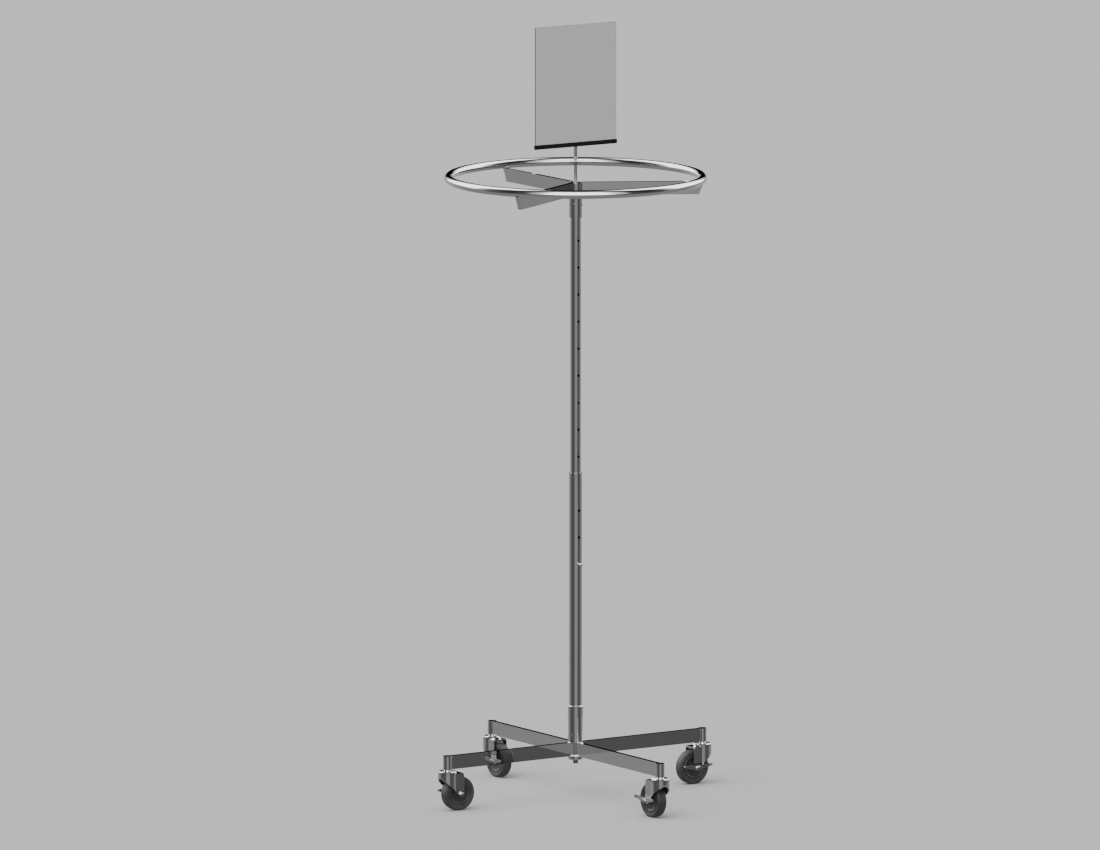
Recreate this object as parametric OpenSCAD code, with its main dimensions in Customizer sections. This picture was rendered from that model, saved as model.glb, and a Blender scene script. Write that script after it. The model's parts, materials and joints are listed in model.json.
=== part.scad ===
// Round garment rack: a hanging ring on three arms, carried by a telescoping post that stands on a
// crossed base with four locking swivel casters, and topped by a sign holder.
// Origin: on the floor, on the post's axis. +Z is up, -Y is the front, millimetres.

/* [Hanging ring] */
// Outside diameter of the hanging ring
ring_od = 762; // [640:1:800]
// Diameter of the ring's tube
ring_tube_d = 25.4; // [22:0.1:28]
// Height of the ring's centre line above the floor
ring_z = 1818.4; // [1780:0.1:1840]
// Height of the ring arms
ring_arm_h = 38.1; // [30:0.1:45]
// How far an arm's curved outer end cuts back from top to bottom
arm_end_cut = 18.5; // [12:0.5:24]

/* [Post] */
// Outside diameter of the fixed lower tube
lower_tube_d = 38.1; // [37:0.1:40]
// Height of the lower tube's mouth
lower_tube_top = 955; // [930:1:980]
// Outside diameter of the sliding upper tube
upper_tube_d = 31.75; // [30:0.05:32]
// Height of the pin that sets the ring's height
pin_z = 687; // [675:1:700]
// Diameter of the adjusting holes
hole_d = 8.5; // [7:0.1:10]
// Distance between adjusting holes
hole_pitch = 79.2; // [76:0.1:82]

/* [Base] */
// Distance from the post's axis to each caster stem
caster_reach = 444.6; // [400:0.1:480]
// Height of the base arms' underside
base_z = 122; // [120:1:126]
// Height of a base arm
base_arm_h = 40; // [36:1:44]
// Thickness of the base arms and of the ring arms
arm_t = 12.7; // [10:0.1:16]
// Outside diameter of the upright sleeve on the crossing
sleeve_d = 44.45; // [43:0.05:48]
// Height of the sleeve's mouth
sleeve_top = 270; // [240:1:300]

/* [Casters] */
// Wheel diameter
wheel_d = 100; // [96:1:100]
// Tread width
tyre_w = 30; // [26:1:34]
// Distance from the swivel axis to the axle
caster_trail = 35.5; // [34:0.5:37]

/* [Sign holder] */
// Diameter of the sign's stem
sign_stem_d = 9.525; // [8:0.005:12]
// Length of the channel
channel_w = 283; // [250:1:320]
// Height of the channel's underside
channel_z = 1910; // [1890:1:1930]
// Height of the channel
channel_h = 12.2; // [10:0.1:16]
// Width of the clear panel
panel_w = 279.4; // [240:0.1:300]
// Height of the panel's top edge
panel_top = 2265; // [2200:1:2300]
// Thickness of the panel
panel_t = 4; // [3:0.1:5]

/* [Hidden] */
$fn = 96;
eps = 0.01;
run_gap = 0.05;        // radial clearance of a running fit
tube_wall = 1.65;
bar_wall = 1.6;

ring_r = (ring_od - ring_tube_d) / 2;
hub_top = ring_z - ring_tube_d / 2;
hub_bottom = hub_top - 103;
hub_r = lower_tube_d / 2;
arm_top = hub_top + 1;                     // bites 1 mm into the ring's underside
arm_bottom = arm_top - ring_arm_h;
arm_tip_r = ring_r + 9;
arm_angles = [90, 210, 330];
drain_angle = 30;
drain_d = 4;
set_screw_z = hub_top - 64;
set_screw_r = 4;
set_screw_head_r = 5.3;
set_screw_head_t = 1.6;
hex_key = 4.6;

lower_bore_r = lower_tube_d / 2 - 1.6;
upper_r = upper_tube_d / 2;
upper_bore_r = upper_r - tube_wall;
upper_tube_z = pin_z - 20;
lower_holes = 3;
upper_holes = 13;
foot_z = upper_tube_z - 7;
foot_spigot = 10;
bushing_h = 30;
bushing_gap = 0.1;
pin_front = 14;
pin_back = 12;
pin_chamfer = 1;

base_top = base_z + base_arm_h;
boss_r = 22;
boss_t = 11;
boss_chamfer = 2.5;
bolt_r = 5;
bolt_head_af = 14.3;
bolt_head_t = 9;
bolt_washer_r = 9;
bolt_washer_t = 3;
post_plug_h = 20;
bolt_tip_z = base_top + post_plug_h - 3;
socket_r = 12.7;
socket_bore_r = 11;
socket_cap = 2;

stem_r = 5.5;
stem_top = base_z + 32;
stem_collar_r = 10;
race_top = base_z - 3;
race_r = 26.5;
race_pocket_r = 24;
crown_top = race_top - 8;
crown_t = 5;
crown_bottom = crown_top - crown_t;
crown_r = 27;
kingpin_r = 6;
kingpin_head_r = 10;
kingpin_head_t = 2.9;
ball_r = 2.3;
ball_ring_r = 18;
balls = 10;
race_gap = 0.4;
ball_pocket_top = crown_top + 2 * ball_r + 0.15;

axle_z = wheel_d / 2;
axle_r = 4;
leg_y = 22.5;          // outer face of a fork leg
leg_t = 3;
leg_back = 43.5;       // trailing edge of a fork leg
leg_foot_r = 9;
side_gap = 0.3;
kingpin_head_z = crown_bottom - side_gap - kingpin_head_t;
// Leading edge of a fork leg from the crown down: distance behind the swivel axis, height
leg_front = [[-26, 100], [-21, 90], [-7, 77], [10, 63]];
wheel_inner_r = 36;
core_rim_w = 26;
core_web_w = 14;
core_hub_r = 9;
nut_af = 13;
nut_t = 5.5;
lever_y = 28;
lever_t = 3;
lever_reach = 46;
lever_tip_r = 3.5;
lever_rise = 7;
lever_drop = 6.5;
lever_curl_r = 9;
axle_head_r = 6.5;
axle_head_t = 4;

channel_t = 7.4;
channel_wall = 1.6;
channel_slot = panel_t + 0.2;
plug_h = 40;
plug_floor = 5;
stem_seat_z = hub_top - plug_h + plug_floor;
swivel_gap = 0.1;

// ---- helpers ----

module chrome() { color("silver") children(); }

module hex(af, h) { cylinder(r = af / sqrt(3), h = h, $fn = 6); }

// A tube standing on z, from inner radius ri to outer radius ro
module pipe(ro, ri, z, h) {
    translate([0, 0, z]) difference() {
        cylinder(r = ro, h = h);
        translate([0, 0, -1]) cylinder(r = ri, h = h + 2);
    }
}

// A cylinder along +Y from y0 to y1
module along_y(r, y0, y1) { translate([0, y0, 0]) rotate([-90, 0, 0]) cylinder(r = r, h = y1 - y0); }

// Cross holes through a tube, from the height z up
module cross_holes(z, count) {
    for (i = [0 : count - 1])
        translate([0, 0, z + i * hole_pitch]) along_y(hole_d / 2, -lower_tube_d, lower_tube_d);
}

// Places a child at caster k: local +X trails towards the post, the brake is on local +Y
module at_caster(k) { rotate(90 * (k - 1)) translate([-caster_reach, 0, 0]) children(); }

// Places a child on a caster's axle: its local Z runs along the axle towards the brake
module on_axle() { translate([caster_trail, 0, axle_z]) rotate([-90, 0, 0]) children(); }

// ---- base ----

// One flat tube from the core to a caster socket
module base_arm(k) {
    chrome() at_caster(k) difference() {
        translate([0, -arm_t / 2, base_z]) cube([caster_reach, arm_t, base_arm_h]);
        translate([0, bar_wall - arm_t / 2, base_z + bar_wall])
            cube([caster_reach, arm_t - 2 * bar_wall, base_arm_h - 2 * bar_wall]);
        for (x = [0, caster_reach])
            translate([x, 0, base_z - 1]) cylinder(r = socket_r, h = base_arm_h + 2);
    }
}

// The round core that the four arms are welded to
module base_core() { chrome() pipe(socket_r, bolt_r, base_z, base_arm_h); }

module stem_sockets() {
    chrome() for (k = [1 : 4]) at_caster(k) translate([0, 0, base_z]) difference() {
        cylinder(r = socket_r, h = base_arm_h);
        translate([0, 0, -1]) cylinder(r = socket_bore_r, h = base_arm_h - socket_cap + 1);
    }
}

module stem_bushings() {
    color("dimgray") for (k = [1 : 4]) at_caster(k) pipe(socket_bore_r, stem_r, base_z, stem_top - base_z);
}

module base_sleeve() {
    lip = 1.2;
    chrome() rotate_extrude() polygon([
        [lower_tube_d / 2, base_top], [sleeve_d / 2, base_top], [sleeve_d / 2, sleeve_top - lip],
        [sleeve_d / 2 - lip, sleeve_top], [lower_tube_d / 2, sleeve_top]
    ]);
}

module base_boss() {
    chrome() translate([0, 0, base_z - boss_t]) rotate_extrude() polygon([
        [bolt_r, 0], [boss_r - boss_chamfer, 0], [boss_r, boss_chamfer], [boss_r, boss_t], [bolt_r, boss_t]
    ]);
}

module base_bolt_washer() {
    chrome() pipe(bolt_washer_r, bolt_r, base_z - boss_t - bolt_washer_t, bolt_washer_t);
}

module base_bolt() {
    head_top = base_z - boss_t - bolt_washer_t;
    chrome() {
        translate([0, 0, head_top - bolt_head_t]) hex(bolt_head_af, bolt_head_t);
        translate([0, 0, head_top - eps]) cylinder(r = bolt_r, h = bolt_tip_z - head_top + eps);
    }
}

module post_plug() {
    color("dimgray") difference() {
        translate([0, 0, base_top]) cylinder(r = lower_bore_r, h = post_plug_h);
        translate([0, 0, base_top - 1]) cylinder(r = bolt_r, h = bolt_tip_z - base_top + 1);
    }
}

// ---- post ----

module lower_tube() {
    chrome() difference() {
        pipe(lower_tube_d / 2, lower_bore_r, base_top, lower_tube_top - base_top);
        cross_holes(pin_z, lower_holes);
    }
}

module guide_bushing() {
    color("dimgray") pipe(lower_bore_r, upper_r + bushing_gap, lower_tube_top - bushing_h, bushing_h);
}

module upper_tube() {
    chrome() difference() {
        pipe(upper_r, upper_bore_r, upper_tube_z, hub_top - upper_tube_z);
        cross_holes(pin_z, upper_holes);
    }
}

module tube_foot() {
    bore_r = 9;
    color("dimgray") difference() {
        union() {
            translate([0, 0, foot_z]) cylinder(r = lower_bore_r - bushing_gap, h = upper_tube_z - foot_z);
            translate([0, 0, foot_z]) cylinder(r = upper_bore_r, h = upper_tube_z - foot_z + foot_spigot);
        }
        translate([0, 0, foot_z - 1]) cylinder(r = bore_r, h = 40);
    }
}

module height_pin() {
    r = hole_d / 2 - run_gap;
    front = -lower_tube_d / 2 - pin_front;
    back = lower_tube_d / 2 + pin_back;
    chrome() translate([0, front, pin_z]) rotate([-90, 0, 0]) rotate_extrude() polygon([
        [0, 0], [r - pin_chamfer, 0], [r, pin_chamfer],
        [r, back - front - 2 * pin_chamfer], [r - pin_chamfer * 2, back - front], [0, back - front]
    ]);
}

// ---- hub, arms and ring ----

module hub_sleeve() {
    chrome() difference() {
        pipe(hub_r, upper_r, hub_bottom, hub_top - hub_bottom);
        for (a = arm_angles) rotate(a)
            translate([0, 0, set_screw_z]) rotate([0, 90, 0]) cylinder(r = set_screw_r, h = hub_r + 5);
    }
}

module set_screws() {
    socket_depth = 3;
    chrome() for (a = arm_angles) rotate(a) translate([0, 0, set_screw_z]) rotate([0, 90, 0])
        difference() {
            union() {
                translate([0, 0, upper_r]) cylinder(r = set_screw_r, h = hub_r - upper_r + 0.5);
                translate([0, 0, hub_r]) cylinder(r = set_screw_head_r, h = set_screw_head_t);
            }
            translate([0, 0, hub_r + set_screw_head_t - socket_depth]) hex(hex_key, socket_depth + 1);
        }
}

// Side outline of a ring arm: x is the distance from the post's axis, y is the height.
// Its outer end is a shallow hollow curve that cuts back towards the bottom.
module arm_outline(inset) {
    steps = 8;
    sag = 2.5;
    polygon([
        [0, arm_bottom + inset], [arm_tip_r - arm_end_cut - inset, arm_bottom + inset],
        for (i = [1 : steps]) let (t = i / steps)
            [arm_tip_r - arm_end_cut * (1 - t) - 4 * sag * t * (1 - t) - inset,
             arm_bottom + inset + (ring_arm_h - 2 * inset) * t],
        [0, arm_top - inset]
    ]);
}

module ring_arm(angle) {
    chrome() rotate(angle) difference() {
        rotate([90, 0, 0]) translate([0, 0, -arm_t / 2]) linear_extrude(arm_t) arm_outline(0);
        rotate([90, 0, 0]) translate([0, 0, bar_wall - arm_t / 2])
            linear_extrude(arm_t - 2 * bar_wall) arm_outline(bar_wall + 1.4);
        translate([0, 0, arm_bottom - 1]) cylinder(r = hub_r, h = ring_arm_h + 2);
        translate([0, 0, ring_z]) ring_torus(ring_tube_d);
    }
}

module ring_torus(d) { rotate_extrude($fn = 240) translate([ring_r, 0]) circle(d = d, $fn = 48); }

// A bent and welded tube, with one small drain hole on its underside
module hanging_ring() {
    chrome() translate([0, 0, ring_z]) difference() {
        ring_torus(ring_tube_d);
        ring_torus(ring_tube_d - 2 * tube_wall);
        rotate(drain_angle) translate([ring_r, 0, -ring_tube_d]) cylinder(d = drain_d, h = ring_tube_d);
    }
}

// ---- sign holder ----

module sign_socket() {
    color("dimgray") difference() {
        translate([0, 0, hub_top - plug_h]) cylinder(r = upper_bore_r, h = plug_h);
        translate([0, 0, stem_seat_z]) cylinder(r = sign_stem_d / 2 + run_gap, h = plug_h);
    }
}

module sign_stem() {
    chrome() translate([0, 0, stem_seat_z + swivel_gap])
        cylinder(d = sign_stem_d, h = channel_z - stem_seat_z - 2 * swivel_gap);
}

module sign_channel() {
    color([0.07, 0.07, 0.07]) difference() {
        translate([-channel_w / 2, -channel_t / 2, channel_z]) cube([channel_w, channel_t, channel_h]);
        translate([-channel_w / 2 - 1, -channel_slot / 2, channel_z + channel_wall])
            cube([channel_w + 2, channel_slot, channel_h]);
    }
}

module sign_panel() {
    z = channel_z + channel_wall + swivel_gap;
    color([0.8, 0.85, 0.85, 0.5]) translate([-panel_w / 2, -panel_t / 2, z])
        cube([panel_w, panel_t, panel_top - z]);
}

// ---- casters ----

// Grip stem, upper ball race and kingpin in one turned and pressed piece
module caster_stem(k) {
    chrome() at_caster(k) rotate_extrude() polygon([
        [0, kingpin_head_z], [kingpin_head_r - 2, kingpin_head_z],
        [kingpin_head_r, kingpin_head_z + kingpin_head_t / 2],
        [kingpin_head_r, kingpin_head_z + kingpin_head_t],
        [kingpin_r, kingpin_head_z + kingpin_head_t], [kingpin_r, crown_top + race_gap],
        [kingpin_r + 4, crown_top + race_gap], [kingpin_r + 4, ball_pocket_top],
        [race_pocket_r, ball_pocket_top], [race_pocket_r, crown_top + race_gap],
        [race_r, crown_top + race_gap], [race_r, race_top - 3], [race_r - 2, race_top - 1],
        [race_r - 6, race_top], [stem_collar_r, race_top], [stem_collar_r, base_z],
        [stem_r, base_z], [stem_r, stem_top - 1], [stem_r - 1, stem_top], [0, stem_top]
    ]);
}

module race_balls(k) {
    chrome() at_caster(k) for (i = [0 : balls - 1]) rotate(i * 360 / balls)
        translate([ball_ring_r, 0, crown_top + ball_r + run_gap]) sphere(r = ball_r, $fn = 24);
}

// Plan outline of the fork: a round cup with two flat cheeks that run back past the axle
module fork_plan(r, half_w, back) {
    circle(r = r);
    translate([0, -half_w]) square([back, 2 * half_w]);
}

// Side outline of the fork's cheeks: x trails, y is the height
module fork_side() {
    foot = 0.7 * leg_foot_r;
    polygon(concat(
        [[-crown_r - 3, crown_bottom + 1], [-crown_r - 3, crown_bottom - 2]],
        leg_front,
        [[caster_trail - foot, axle_z - foot], [caster_trail + leg_foot_r - eps, axle_z],
         [leg_back, crown_bottom + 1]]
    ));
    translate([caster_trail, axle_z]) circle(r = leg_foot_r);
}

module fork(k) {
    fork_reach = 60;       // past the trailing edge of the legs
    chrome() at_caster(k) difference() {
        union() {
            translate([0, 0, crown_bottom]) linear_extrude(crown_t) fork_plan(crown_r, leg_y, leg_back - 2);
            intersection() {
                difference() {
                    linear_extrude(crown_bottom + 1) fork_plan(crown_r, leg_y, fork_reach);
                    translate([0, 0, -1]) linear_extrude(crown_bottom + 3)
                        fork_plan(crown_r - leg_t, leg_y - leg_t, fork_reach + 10);
                }
                translate([0, crown_r + 1, 0]) rotate([90, 0, 0])
                    linear_extrude(2 * crown_r + 2) fork_side();
            }
        }
        cylinder(r = kingpin_r + run_gap, h = race_top);
        on_axle() translate([0, 0, -leg_y - 1]) cylinder(r = axle_r, h = 2 * leg_y + 2);
    }
}

module tyre(k) {
    edge = wheel_d / 2;
    half = tyre_w / 2;
    color([0.13, 0.13, 0.13]) at_caster(k) on_axle() rotate_extrude() polygon([
        [wheel_inner_r, 2 - half], [edge - 5, -half], [edge - 1.5, 1.5 - half], [edge, 5 - half],
        [edge, half - 5], [edge - 1.5, half - 1.5], [edge - 5, half], [wheel_inner_r, half - 2]
    ]);
}

module wheel_core(k) {
    hub_half = leg_y - leg_t - side_gap;
    rim_half = core_rim_w / 2;
    web_half = core_web_w / 2;
    bore_r = axle_r + run_gap;
    rim_in = wheel_inner_r - 3;
    color([0.16, 0.16, 0.16]) at_caster(k) on_axle() rotate_extrude() polygon([
        [bore_r, -hub_half], [core_hub_r, -hub_half], [core_hub_r + 1, -web_half], [rim_in - 1, -web_half],
        [rim_in, -rim_half], [wheel_inner_r, -rim_half], [wheel_inner_r, rim_half], [rim_in, rim_half],
        [rim_in - 1, web_half], [core_hub_r + 1, web_half], [core_hub_r, hub_half], [bore_r, hub_half]
    ]);
}

module axle_bolt(k) {
    head = lever_y + lever_t + side_gap;
    chrome() at_caster(k) on_axle() rotate_extrude() polygon([
        [0, -leg_y - nut_t - 1.5], [axle_r - 1, -leg_y - nut_t - 1.5], [axle_r, -leg_y - nut_t - 0.5],
        [axle_r, head], [axle_head_r, head], [axle_head_r, head + axle_head_t - 2],
        [axle_head_r - 2, head + axle_head_t], [0, head + axle_head_t]
    ]);
}

module axle_nut(k) {
    chrome() at_caster(k) on_axle() translate([0, 0, -leg_y - nut_t]) difference() {
        hex(nut_af, nut_t);
        translate([0, 0, -1]) cylinder(r = axle_r, h = nut_t + 2);
    }
}

// Side outline of the two-way brake lever, about its pivot
module lever_side() {
    top = lever_rise + lever_tip_r;
    polygon([
        [-lever_reach, lever_rise - lever_tip_r + eps], [-3, -lever_drop], [3, -lever_drop],
        [lever_reach, lever_rise - lever_tip_r + eps], [lever_reach, top - eps], [-lever_reach, top - eps]
    ]);
    for (s = [-1, 1]) translate([s * lever_reach, lever_rise]) circle(r = lever_tip_r);
    circle(r = lever_drop);
}

// Plan of the lever: a flat bar whose ends curl outwards
module lever_plan() {
    flat = lever_reach - lever_curl_r * 0.7;
    curl_box = 2 * lever_curl_r;
    translate([-flat, lever_y]) square([2 * flat, lever_t]);
    for (s = [-1, 1]) translate([s * flat, lever_y + lever_t + lever_curl_r]) intersection() {
        difference() {
            circle(r = lever_curl_r + lever_t);
            circle(r = lever_curl_r);
        }
        translate([s > 0 ? 0 : -curl_box, -curl_box]) square([curl_box, curl_box / 2 + lever_t]);
    }
}

module brake_lever(k) {
    chrome() at_caster(k) difference() {
        union() {
            intersection() {
                translate([caster_trail, 0, axle_z - lever_reach / 2])
                    linear_extrude(lever_reach) lever_plan();
                translate([caster_trail, lever_reach, axle_z]) rotate([90, 0, 0])
                    linear_extrude(lever_reach) lever_side();
            }
            on_axle() translate([0, 0, leg_y + side_gap])
                cylinder(r = lever_drop, h = lever_y - leg_y - side_gap + 1);
        }
        on_axle() cylinder(r = axle_r + run_gap, h = lever_reach);
    }
}

// ---- nodes ----

base_core();
base_arm(1);  // base_arm_1
base_arm(2);  // base_arm_2
base_arm(3);  // base_arm_3
base_arm(4);  // base_arm_4
stem_sockets();
stem_bushings();
base_sleeve();
base_boss();
base_bolt_washer();
base_bolt();
post_plug();
lower_tube();
guide_bushing();
upper_tube();
tube_foot();
height_pin();
hub_sleeve();
set_screws();
ring_arm(arm_angles[0]);  // ring_arm_1
ring_arm(arm_angles[1]);  // ring_arm_2
ring_arm(arm_angles[2]);  // ring_arm_3
hanging_ring();
sign_socket();
sign_stem();
sign_channel();
sign_panel();
caster_stem(1);  // caster_stem_1
caster_stem(2);  // caster_stem_2
caster_stem(3);  // caster_stem_3
caster_stem(4);  // caster_stem_4
race_balls(1);  // race_balls_1
race_balls(2);  // race_balls_2
race_balls(3);  // race_balls_3
race_balls(4);  // race_balls_4
fork(1);  // fork_1
fork(2);  // fork_2
fork(3);  // fork_3
fork(4);  // fork_4
tyre(1);  // tyre_1
tyre(2);  // tyre_2
tyre(3);  // tyre_3
tyre(4);  // tyre_4
wheel_core(1);  // wheel_core_1
wheel_core(2);  // wheel_core_2
wheel_core(3);  // wheel_core_3
wheel_core(4);  // wheel_core_4
axle_bolt(1);  // axle_bolt_1
axle_bolt(2);  // axle_bolt_2
axle_bolt(3);  // axle_bolt_3
axle_bolt(4);  // axle_bolt_4
axle_nut(1);  // axle_nut_1
axle_nut(2);  // axle_nut_2
axle_nut(3);  // axle_nut_3
axle_nut(4);  // axle_nut_4
brake_lever(1);  // brake_lever_1
brake_lever(2);  // brake_lever_2
brake_lever(3);  // brake_lever_3
brake_lever(4);  // brake_lever_4
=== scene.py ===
"""Looks for the round garment rack: chrome tubes and bars, black casters, a clear sign panel."""
import json
import math

import bmesh
import bpy
from mathutils import Matrix, Vector


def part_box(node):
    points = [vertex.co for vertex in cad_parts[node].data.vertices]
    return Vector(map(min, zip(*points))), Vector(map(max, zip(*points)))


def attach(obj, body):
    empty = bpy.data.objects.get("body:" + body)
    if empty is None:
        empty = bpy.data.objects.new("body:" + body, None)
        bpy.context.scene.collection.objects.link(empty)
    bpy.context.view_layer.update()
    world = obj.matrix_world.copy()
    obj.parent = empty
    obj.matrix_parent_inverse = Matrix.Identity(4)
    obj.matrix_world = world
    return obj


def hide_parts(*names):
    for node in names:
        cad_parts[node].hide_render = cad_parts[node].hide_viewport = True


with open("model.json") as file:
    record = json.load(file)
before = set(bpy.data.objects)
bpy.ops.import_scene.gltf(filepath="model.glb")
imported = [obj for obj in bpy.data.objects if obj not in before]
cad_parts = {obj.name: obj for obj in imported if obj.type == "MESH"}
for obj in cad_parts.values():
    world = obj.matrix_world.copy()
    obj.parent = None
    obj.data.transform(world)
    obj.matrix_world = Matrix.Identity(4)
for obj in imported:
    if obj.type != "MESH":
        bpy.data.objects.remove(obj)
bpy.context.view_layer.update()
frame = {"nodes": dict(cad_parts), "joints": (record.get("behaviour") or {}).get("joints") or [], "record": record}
NODES = frame["nodes"]
MM = 0.001
CASTERS = (1, 2, 3, 4)
ARM_ANGLES = (90, 210, 330)      # the ring arms' directions, in degrees

# ---- camera: a long lens, a little above the ring's height, turned towards the left front ----

VIEW_AZIMUTH = math.radians(-33.305)
VIEW_ELEVATION = math.radians(8.463)
VIEW_DISTANCE = 44.85
AIM_SIDEWAYS = -0.0742      # where the view's centre line passes the post, in metres
AIM_HEIGHT = 1.0945
LENS = 505.5
SENSOR = 36.0

RIGHT = Vector((math.cos(VIEW_AZIMUTH), math.sin(VIEW_AZIMUTH), 0))
TOWARDS_CAMERA = Vector((math.sin(VIEW_AZIMUTH), -math.cos(VIEW_AZIMUTH), 0))


def make_camera():
    back = TOWARDS_CAMERA * math.cos(VIEW_ELEVATION) + Vector((0, 0, math.sin(VIEW_ELEVATION)))
    aim = RIGHT * AIM_SIDEWAYS + Vector((0, 0, AIM_HEIGHT))
    data = bpy.data.cameras.new("camera")
    data.sensor_width = SENSOR
    data.lens = LENS
    data.clip_end = 400
    camera = bpy.data.objects.new("camera", data)
    camera.location = aim + back * VIEW_DISTANCE
    camera.rotation_euler = back.to_track_quat("Z", "Y").to_euler()
    bpy.context.scene.collection.objects.link(camera)
    bpy.context.scene.camera = camera


# ---- node helpers ----

class Graph:
    """Short calls for building a node tree."""

    def __init__(self, tree):
        self.tree = tree
        tree.nodes.clear()

    def node(self, kind, **settings):
        made = self.tree.nodes.new(kind)
        for key, value in settings.items():
            setattr(made, key, value)
        return made

    def link(self, source, target):
        self.tree.links.new(source, target)

    def feed(self, socket, value):
        if isinstance(value, bpy.types.NodeSocket):
            self.link(value, socket)
        else:
            socket.default_value = value

    def math(self, operation, a, b=0.0):
        made = self.node("ShaderNodeMath", operation=operation)
        for socket, value in zip(made.inputs, (a, b)):
            self.feed(socket, value)
        return made.outputs[0]

    def dot(self, vector, axis):
        made = self.node("ShaderNodeVectorMath", operation="DOT_PRODUCT")
        self.link(vector, made.inputs[0])
        made.inputs[1].default_value = axis
        return made.outputs["Value"]

    def ramp(self, factor, stops):
        made = self.node("ShaderNodeValToRGB")
        made.color_ramp.interpolation = "EASE"
        elements = made.color_ramp.elements
        while len(elements) < len(stops):
            elements.new(0.5)
        for element, (place, light) in zip(elements, stops):
            element.position = place
            element.color = (light, light, light, 1)
        self.link(factor, made.inputs[0])
        return made.outputs[0]

    def mix(self, factor, a, b):
        made = self.node("ShaderNodeMix", data_type="RGBA")
        self.feed(made.inputs["Factor"], factor)
        self.feed(made.inputs[6], a)
        self.feed(made.inputs[7], b)
        return made.outputs[2]


def grey(value):
    """Linear light of an sRGB grey from 0 to 255."""
    part = value / 255
    return part / 12.92 if part <= 0.04045 else ((part + 0.055) / 1.055) ** 2.4


def shade(value, gain=1.0):
    return (gain * grey(value),) * 3 + (1,)


# ---- the studio ----

BACKDROP = 186
WHITE = 390          # grey of the soft boxes as they show in chrome
STUDIO_GAIN = 1.45   # makes up for what chrome takes from each reflection
OVERHEAD = 92        # grey of the ceiling straight above
UNDERFOOT = 122      # grey of the ground straight below
FLOOR_LIGHT = 0.60
FLOOR_TONE = 0.70
FLOOR_HALF = 60.0
KEY_POWER = 1.6
KEY_SPREAD = 62      # degrees across
KEY_AIM = TOWARDS_CAMERA * 0.5 - RIGHT * 0.6 + Vector((0, 0, 1.2))


def panorama(g, turn, stops):
    return g.ramp(turn, [(angle / 360 + 0.5, STUDIO_GAIN * grey(value)) for angle, value in stops])


def make_world():
    """Even light for the floor, and for polished metal three soft boxes between dark flats.

    Each list below goes once round the horizon: degrees from the camera's side, positive towards the
    picture's right, and the grey that the studio has there."""
    world = bpy.data.worlds.new("studio")
    bpy.context.scene.world = world
    world.use_nodes = True
    g = Graph(world.node_tree)
    ray = g.node("ShaderNodeTexCoord").outputs["Generated"]
    sideways = g.dot(ray, RIGHT)
    nearness = g.dot(ray, TOWARDS_CAMERA)
    height = g.dot(ray, (0, 0, 1))

    turn = g.math("DIVIDE", g.math("ARCTAN2", sideways, nearness), 2 * math.pi)
    turn = g.math("ADD", turn, 0.5)
    flats = [(-180, 160), (-150, 160), (-136, 142), (-120, 130), (-108, 130), (-92, 122), (-82, 86),
             (-72, 79), (-34, 79), (-20, 88), (-8, 130), (0, 138), (24, 134), (36, 98), (46, 79), (70, 79),
             (82, 80), (92, 118), (108, 122), (122, 118), (136, 142), (150, 160), (180, 160)]
    at_eye_level = panorama(g, turn, flats)

    lamps = [(-180, 3), (-167, 3), (-159, 200), (-148, WHITE), (-104, WHITE), (-92, 170), (-82, 84),
             (-60, 46), (-47, 74), (-36, 200), (-20, WHITE), (0, WHITE), (24, WHITE), (40, 225), (52, 70),
             (64, 46), (82, 66), (92, 170), (104, WHITE), (148, WHITE), (159, 200), (167, 3), (180, 3)]
    boxes = panorama(g, turn, lamps)
    crown = g.ramp(height, [(0.0, 0.0), (0.9, 0.0), (0.965, 1.0), (1.0, 1.0)])
    above = g.mix(crown, boxes, shade(OVERHEAD, STUDIO_GAIN))

    below = g.ramp(g.math("ABSOLUTE", height), [(0.0, 0.0), (0.3, 0.0), (0.6, 1.0), (1.0, 1.0)])
    low = g.mix(below, at_eye_level, shade(UNDERFOOT, STUDIO_GAIN))
    upper = g.ramp(height, [(0.0, 0.0), (0.09, 1.0), (1.0, 1.0)])
    studio = g.mix(upper, low, above)

    path = g.node("ShaderNodeLightPath")
    seen_in_metal = g.mix(path.outputs["Is Glossy Ray"], (FLOOR_LIGHT,) * 3 + (1,), studio)
    colour = g.mix(path.outputs["Is Camera Ray"], seen_in_metal, shade(BACKDROP))
    background = g.node("ShaderNodeBackground")
    g.link(colour, background.inputs["Color"])
    output = g.node("ShaderNodeOutputWorld")
    g.link(background.outputs[0], output.inputs["Surface"])


def make_floor():
    mesh = bpy.data.meshes.new("floor")
    corners = [(-1, -1), (1, -1), (1, 1), (-1, 1)]
    mesh.from_pydata([(x * FLOOR_HALF, y * FLOOR_HALF, 0) for x, y in corners], [], [(0, 1, 2, 3)])
    floor = bpy.data.objects.new("floor", mesh)
    bpy.context.scene.collection.objects.link(floor)
    material = bpy.data.materials.new("pale_floor")
    material.use_nodes = True
    g = Graph(material.node_tree)
    surface = g.node("ShaderNodeBsdfDiffuse")
    surface.inputs["Color"].default_value = (FLOOR_TONE,) * 3 + (1,)
    output = g.node("ShaderNodeOutputMaterial")
    g.link(surface.outputs[0], output.inputs["Surface"])
    mesh.materials.append(material)
    floor.visible_glossy = False


def make_key_light():
    """A broad soft light from the upper left of the camera."""
    data = bpy.data.lights.new("key", "SUN")
    data.energy = KEY_POWER
    data.angle = math.radians(KEY_SPREAD)
    light = bpy.data.objects.new("key", data)
    light.rotation_euler = KEY_AIM.to_track_quat("Z", "Y").to_euler()
    light.visible_glossy = False
    bpy.context.scene.collection.objects.link(light)


# ---- materials ----

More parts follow.
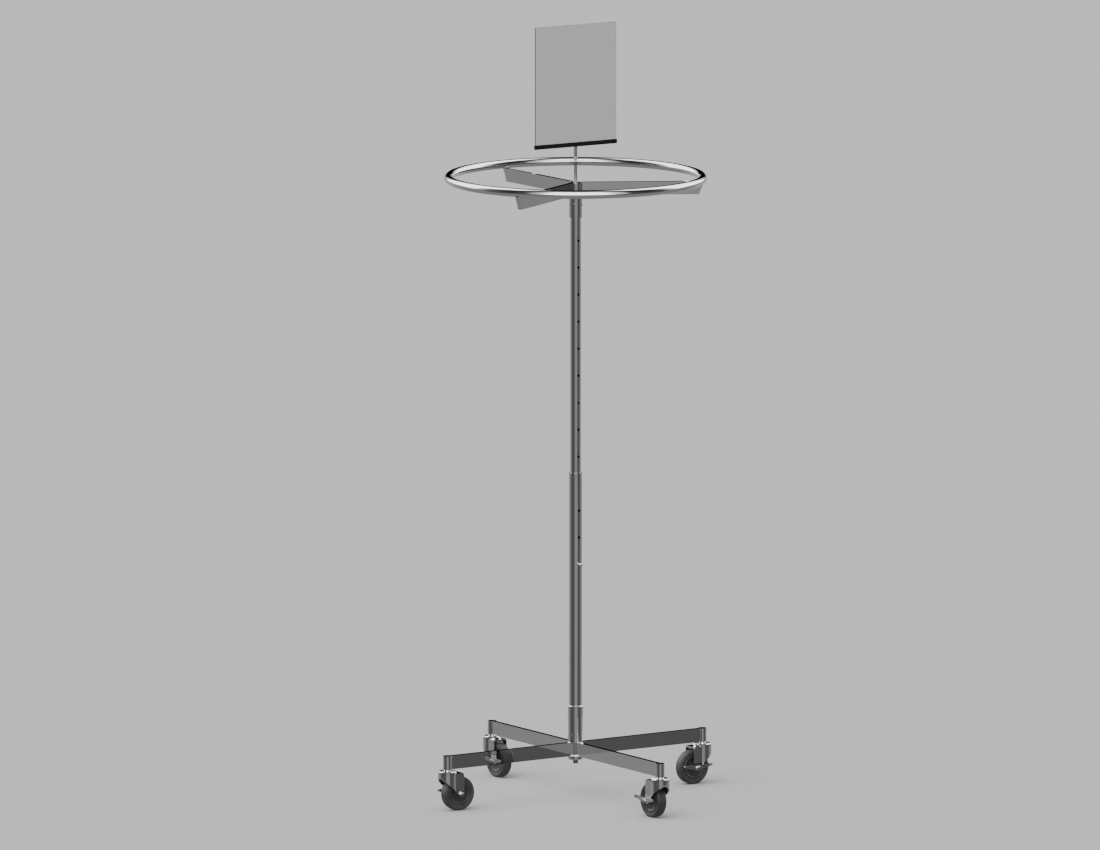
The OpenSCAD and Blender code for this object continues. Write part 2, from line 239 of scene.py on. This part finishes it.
def new_material(name):
    material = bpy.data.materials.new(name)
    material.use_nodes = True
    g = Graph(material.node_tree)
    shader = g.node("ShaderNodeBsdfPrincipled")
    output = g.node("ShaderNodeOutputMaterial")
    g.link(shader.outputs[0], output.inputs["Surface"])
    return material, g, shader


def noise(g, scale, detail=3.0, roughness=0.5, stretch=(1, 1, 1)):
    place = g.node("ShaderNodeTexCoord").outputs["Object"]
    mapping = g.node("ShaderNodeMapping")
    mapping.inputs["Scale"].default_value = stretch
    g.link(place, mapping.inputs["Vector"])
    made = g.node("ShaderNodeTexNoise")
    made.inputs["Scale"].default_value = scale
    made.inputs["Detail"].default_value = detail
    made.inputs["Roughness"].default_value = roughness
    g.link(mapping.outputs[0], made.inputs["Vector"])
    return made.outputs["Fac"]


def spread(g, factor, low, high):
    """Maps the middle of a noise onto low to high."""
    made = g.node("ShaderNodeMapRange")
    made.inputs["From Min"].default_value = 0.3
    made.inputs["From Max"].default_value = 0.7
    made.inputs["To Min"].default_value = low
    made.inputs["To Max"].default_value = high
    g.link(factor, made.inputs["Value"])
    return made.outputs["Result"]


def add_bump(g, shader, height, distance, strength=1.0):
    made = g.node("ShaderNodeBump")
    made.inputs["Distance"].default_value = distance
    made.inputs["Strength"].default_value = strength
    g.link(height, made.inputs["Height"])
    g.link(made.outputs[0], shader.inputs["Normal"])


def metal(name, tone, rough, smudge, grain_scale, grain_depth, stretch=(1, 1, 1)):
    """Plated metal: faint smudges vary the gloss, and a fine polishing grain breaks up the mirror."""
    material, g, shader = new_material(name)
    shader.inputs["Metallic"].default_value = 1.0
    smear = noise(g, 9.0, 4.0, 0.55)
    dark = tuple(part * 0.95 for part in tone) + (1,)
    g.link(g.mix(spread(g, smear, 0.0, 1.0), tone + (1,), dark), shader.inputs["Base Color"])
    g.link(spread(g, smear, rough, rough + smudge), shader.inputs["Roughness"])
    add_bump(g, shader, noise(g, grain_scale, 2.0, 0.5, stretch), grain_depth)
    return material


def matte(name, tone, rough, grain_scale, grain_depth, lift=1.6, specular=0.5):
    """Moulded plastic or rubber with a fine grain and slightly uneven tone."""
    material, g, shader = new_material(name)
    bloom = noise(g, 28.0, 4.0, 0.6)
    light = tuple(part * lift for part in tone) + (1,)
    g.link(g.mix(spread(g, bloom, 0.0, 1.0), tone + (1,), light), shader.inputs["Base Color"])
    g.link(spread(g, bloom, rough, rough + 0.12), shader.inputs["Roughness"])
    shader.inputs["Specular IOR Level"].default_value = specular
    add_bump(g, shader, noise(g, grain_scale, 4.0, 0.6), grain_depth)
    return material


def acrylic():
    material, g, shader = new_material("clear_acrylic")
    shader.inputs["Base Color"].default_value = (0.64, 0.645, 0.645, 1)
    shader.inputs["Transmission Weight"].default_value = 1.0
    shader.inputs["IOR"].default_value = 1.49
    wipe = noise(g, 14.0, 5.0, 0.6, (1, 1, 3))
    g.link(spread(g, wipe, 0.0, 0.03), shader.inputs["Roughness"])
    return material


MATERIALS = {
    "chrome_bar": metal("chrome_bar", (0.675, 0.68, 0.685), 0.012, 0.02, 900.0, 0.000002, (1, 1, 0.1)),
    "chrome_tube": metal("chrome_tube", (0.675, 0.68, 0.685), 0.012, 0.02, 900.0, 0.000002, (1, 1, 0.06)),
    "caster_plate": metal("caster_plate", (0.655, 0.66, 0.665), 0.04, 0.05, 500.0, 0.00001),
    "zinc_hardware": metal("zinc_hardware", (0.50, 0.505, 0.515), 0.16, 0.08, 700.0, 0.00002),
    "bearing_ball": metal("bearing_ball", (0.63, 0.63, 0.635), 0.05, 0.03, 700.0, 0.000002),
    "black_plastic": matte("black_plastic", (0.018, 0.018, 0.019), 0.42, 1400.0, 0.00003),
    "black_channel": matte("black_channel", (0.004, 0.004, 0.0045), 0.30, 1100.0, 0.00001),
    "clear_acrylic": acrylic(),
    "black_rubber": matte("black_rubber", (0.036, 0.035, 0.036), 0.5, 900.0, 0.00006, 1.5),
    "black_wheel_plastic": matte("black_wheel_plastic", (0.030, 0.030, 0.031), 0.36, 1200.0, 0.00004, 1.6),
}


def paint_cad_nodes():
    slots = {part["node"]: part["material_slot"] for part in frame["record"]["subparts"]}
    for name, piece in NODES.items():
        piece.data.materials.clear()
        piece.data.materials.append(MATERIALS[slots[name]])
        for face in piece.data.polygons:
            face.material_index = 0


# ---- mesh helpers ----

SHARP_ANGLE = math.radians(38)
SOFT_ANGLE = math.radians(40)


def new_piece(name, bm, slot, body, replaced=()):
    """Turns a bmesh into a piece that rides on a body, shown in a slot's material."""
    bmesh.ops.recalc_face_normals(bm, faces=bm.faces)
    mesh = bpy.data.meshes.new(name)
    bm.to_mesh(mesh)
    bm.free()
    mesh.materials.append(MATERIALS[slot])
    for face in mesh.polygons:
        face.use_smooth = True
    mesh.set_sharp_from_angle(angle=SHARP_ANGLE)
    piece = bpy.data.objects.new(name, mesh)
    bpy.context.scene.collection.objects.link(piece)
    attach(piece, body)
    if replaced:
        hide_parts(*replaced)
    return piece


def lathe(bm, profile, place, steps=96):
    """Turns a closed profile of (radius, height) points about Z and puts it at the matrix place."""
    rings = []
    for i in range(steps):
        turn = Matrix.Rotation(2 * math.pi * i / steps, 4, "Z")
        points = [Vector((radius, 0, height)) for radius, height in profile]
        rings.append([bm.verts.new(place @ turn @ point) for point in points])
    count = len(profile)
    for i in range(steps):
        here, there = rings[i], rings[(i + 1) % steps]
        for j in range(count):
            bm.faces.new((here[j], there[j], there[(j + 1) % count], here[(j + 1) % count]))


def arc(centre, radius, start, end, steps):
    """Points on an arc, with angles in degrees."""
    angles = [math.radians(start + (end - start) * i / steps) for i in range(steps + 1)]
    return [(centre[0] + radius * math.cos(a), centre[1] + radius * math.sin(a)) for a in angles]


def axis_frame(centre, along):
    """A matrix whose Z runs along a direction from a centre."""
    return Matrix.Translation(centre) @ Vector(along).to_track_quat("Z", "X").to_matrix().to_4x4()


def joint(name):
    return next(j for j in frame["joints"] if j["name"] == name)


def half_size(node):
    low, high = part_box(node)
    return (Vector(high) - Vector(low)) / 2


def soften(width, *nodes):
    """Rounds the hard edges of CAD nodes."""
    for node in nodes:
        weld = NODES[node].modifiers.new("one_skin", "WELD")
        weld.merge_threshold = 0.00001
        bevel = NODES[node].modifiers.new("soft_edges", "BEVEL")
        bevel.width = width * MM
        bevel.segments = 2
        bevel.limit_method = "ANGLE"
        bevel.angle_limit = SOFT_ANGLE
        bevel.harden_normals = True


# ---- wheels, in millimetres ----

BORE_R = 4.05


def both_sides(side):
    """A closed profile from the points of its upper half."""
    return side + [(radius, -height) for radius, height in reversed(side)]


def make_wheel(k):
    """A rounded tread with ribbed shoulders on a shallow moulded centre."""
    spin = joint(f"wheel_spin_{k}")
    place = axis_frame(spin["pos_m"], spin["axis"]) @ Matrix.Scale(MM, 4)

    shoulder = arc((44.6, 9.6), 5.4, 88, 6, 9)
    groove = [(36.0, 12.7), (37.0, 13.3), (37.8, 14.3), (39.3, 14.5), (40.2, 13.9), (41.6, 14.1)]
    bm = bmesh.new()
    lathe(bm, both_sides(groove + [(42.8, 14.8)] + shoulder + [(50.0, 6.0)]), place, 144)
    new_piece(f"tread_{k}", bm, "black_rubber", f"wheel_{k}", (f"tyre_{k}",))

    hub = [(BORE_R, 19.2), (8.2, 19.2), (9.0, 18.4), (9.5, 14.6), (10.6, 13.2), (12.6, 12.8)]
    dish = [(14.0, 12.2), (17.0, 11.9), (22.0, 11.7), (27.0, 11.9), (29.6, 12.3)]
    rib = [(30.6, 13.1), (31.4, 13.4), (33.0, 13.4), (33.9, 13.0), (34.6, 12.5), (36.0, 12.5)]
    bm = bmesh.new()
    lathe(bm, both_sides(hub + dish + rib), place, 120)
    new_piece(f"wheel_centre_{k}", bm, "black_wheel_plastic", f"wheel_{k}", (f"wheel_core_{k}",))


# ---- welds and pressed ridges ----

BEAD_STEP = 0.8 * MM
CORNER_BEAD = 1.3 * MM
SLEEVE_BEAD = 1.5 * MM
SEAT_BEAD = 1.4 * MM
SEAT_REACH = 6 * MM       # half the length of a weld between a ring arm and the ring
SEAT_LIFT = 0.7 * MM      # from the ring's underside to that weld
CORNER_INSET = 2 * MM     # from a bar's rounded edges to the ends of its upright welds
HUB_TOP_INSET = 3 * MM    # the same at the top of the ring arms
RACE_DROP = 3 * MM        # from the arms' underside to a caster's race


def bead(bm, path, radius, ripple=0.1, sides=10):
    """A rippled bead of weld along evenly spaced points, tapered at both ends."""
    rings = []
    last = len(path) - 1
    for i, point in enumerate(path):
        along = (path[min(i + 1, last)] - path[max(i - 1, 0)]).normalized()
        place = axis_frame(point, along)
        size = radius * (0.35 if i in (0, last) else 1 + ripple * (-1) ** i)
        turns = [2 * math.pi * j / sides for j in range(sides)]
        circle = [Vector((size * math.cos(t), size * math.sin(t), 0)) for t in turns]
        rings.append([bm.verts.new(place @ spot) for spot in circle])
    for here, there in zip(rings, rings[1:]):
        for j in range(sides):
            bm.faces.new((here[j], here[(j + 1) % sides], there[(j + 1) % sides], there[j]))
    bm.faces.new(rings[0])
    bm.faces.new(rings[-1])


def between(start, end):
    count = max(2, round((end - start).length / BEAD_STEP))
    return [start.lerp(end, i / count) for i in range(count + 1)]


def around(centre, radius, start, end):
    """Points on a level arc, with angles in radians."""
    count = max(2, round(radius * abs(end - start) / BEAD_STEP))
    turns = [start + (end - start) * i / count for i in range(count + 1)]
    return [centre + Vector((radius * math.cos(t), radius * math.sin(t), 0)) for t in turns]


def corner_beads(bm, angle, distance, half, low, high):
    """Two upright beads, one on each side of a bar that meets a round post."""
    along = Vector((math.cos(angle), math.sin(angle), 0))
    across = Vector((-along.y, along.x, 0))
    for side in (-1, 1):
        foot = along * distance + across * side * half
        bead(bm, between(foot + Vector((0, 0, low)), foot + Vector((0, 0, high))), CORNER_BEAD)


def make_base_welds():
    arm_low, arm_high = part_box("base_arm_1")
    half = (arm_high.y - arm_low.y) / 2
    post_r = half_size("base_core").x
    chord = math.sqrt(post_r ** 2 - half ** 2)
    sleeve_r = half_size("base_sleeve").x
    bm = bmesh.new()
    for k in CASTERS:
        stem = Vector(joint(f"caster_swivel_{k}")["pos_m"])
        angle = math.atan2(stem.y, stem.x)
        reach = math.hypot(stem.x, stem.y)
        for distance in (chord, reach - chord):
            corner_beads(bm, angle, distance, half, arm_low.z + CORNER_INSET, arm_high.z - CORNER_INSET)
        spread_angle = math.asin(half / sleeve_r)
        top = Vector((0, 0, arm_high.z))
        bead(bm, around(top, sleeve_r, angle - spread_angle, angle + spread_angle), SLEEVE_BEAD)
    new_piece("base_welds", bm, "chrome_bar", "base")


def make_mast_welds():
    tube_r = half_size("hanging_ring").z
    ring_r = half_size("hanging_ring").x - tube_r
    ring_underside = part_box("hanging_ring")[0].z
    hub_r = half_size("hub_sleeve").x
    half = half_size("ring_arm_1").x
    arm_low, arm_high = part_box("ring_arm_1")
    bm = bmesh.new()
    chord = math.sqrt(hub_r ** 2 - half ** 2)
    for angle in map(math.radians, ARM_ANGLES):
        corner_beads(bm, angle, chord, half, arm_low.z + CORNER_INSET, arm_high.z - HUB_TOP_INSET)
        along = Vector((math.cos(angle), math.sin(angle), 0))
        across = Vector((-along.y, along.x, 0))
        for side in (-1, 1):
            seat = across * side * half + Vector((0, 0, ring_underside + SEAT_LIFT))
            inner = seat + along * (ring_r - SEAT_REACH)
            outer = seat + along * (ring_r + SEAT_REACH)
            bead(bm, between(inner, outer), SEAT_BEAD)
    new_piece("mast_welds", bm, "chrome_bar", "mast")


def make_race_ridge(k):
    """The ridge pressed into the top of a caster's ball race, which is just under the arms."""
    stem = Vector(joint(f"caster_swivel_{k}")["pos_m"])
    race_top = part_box("base_arm_1")[0].z - RACE_DROP
    place = Matrix.Translation((stem.x, stem.y, race_top)) @ Matrix.Scale(MM, 4)
    bm = bmesh.new()
    ridge = [(18.6, -0.4), (18.3, 0.15), (17.7, 0.4), (17.0, 0.5), (16.3, 0.4), (15.7, 0.15), (15.4, -0.4)]
    lathe(bm, ridge, place)
    new_piece(f"race_ridge_{k}", bm, "caster_plate", "base")


make_camera()
make_world()
make_floor()
make_key_light()
paint_cad_nodes()
soften(0.5, "sign_channel")
soften(0.3, "sign_panel")
for k in CASTERS:
    make_wheel(k)
    make_race_ridge(k)
make_base_welds()
make_mast_welds()
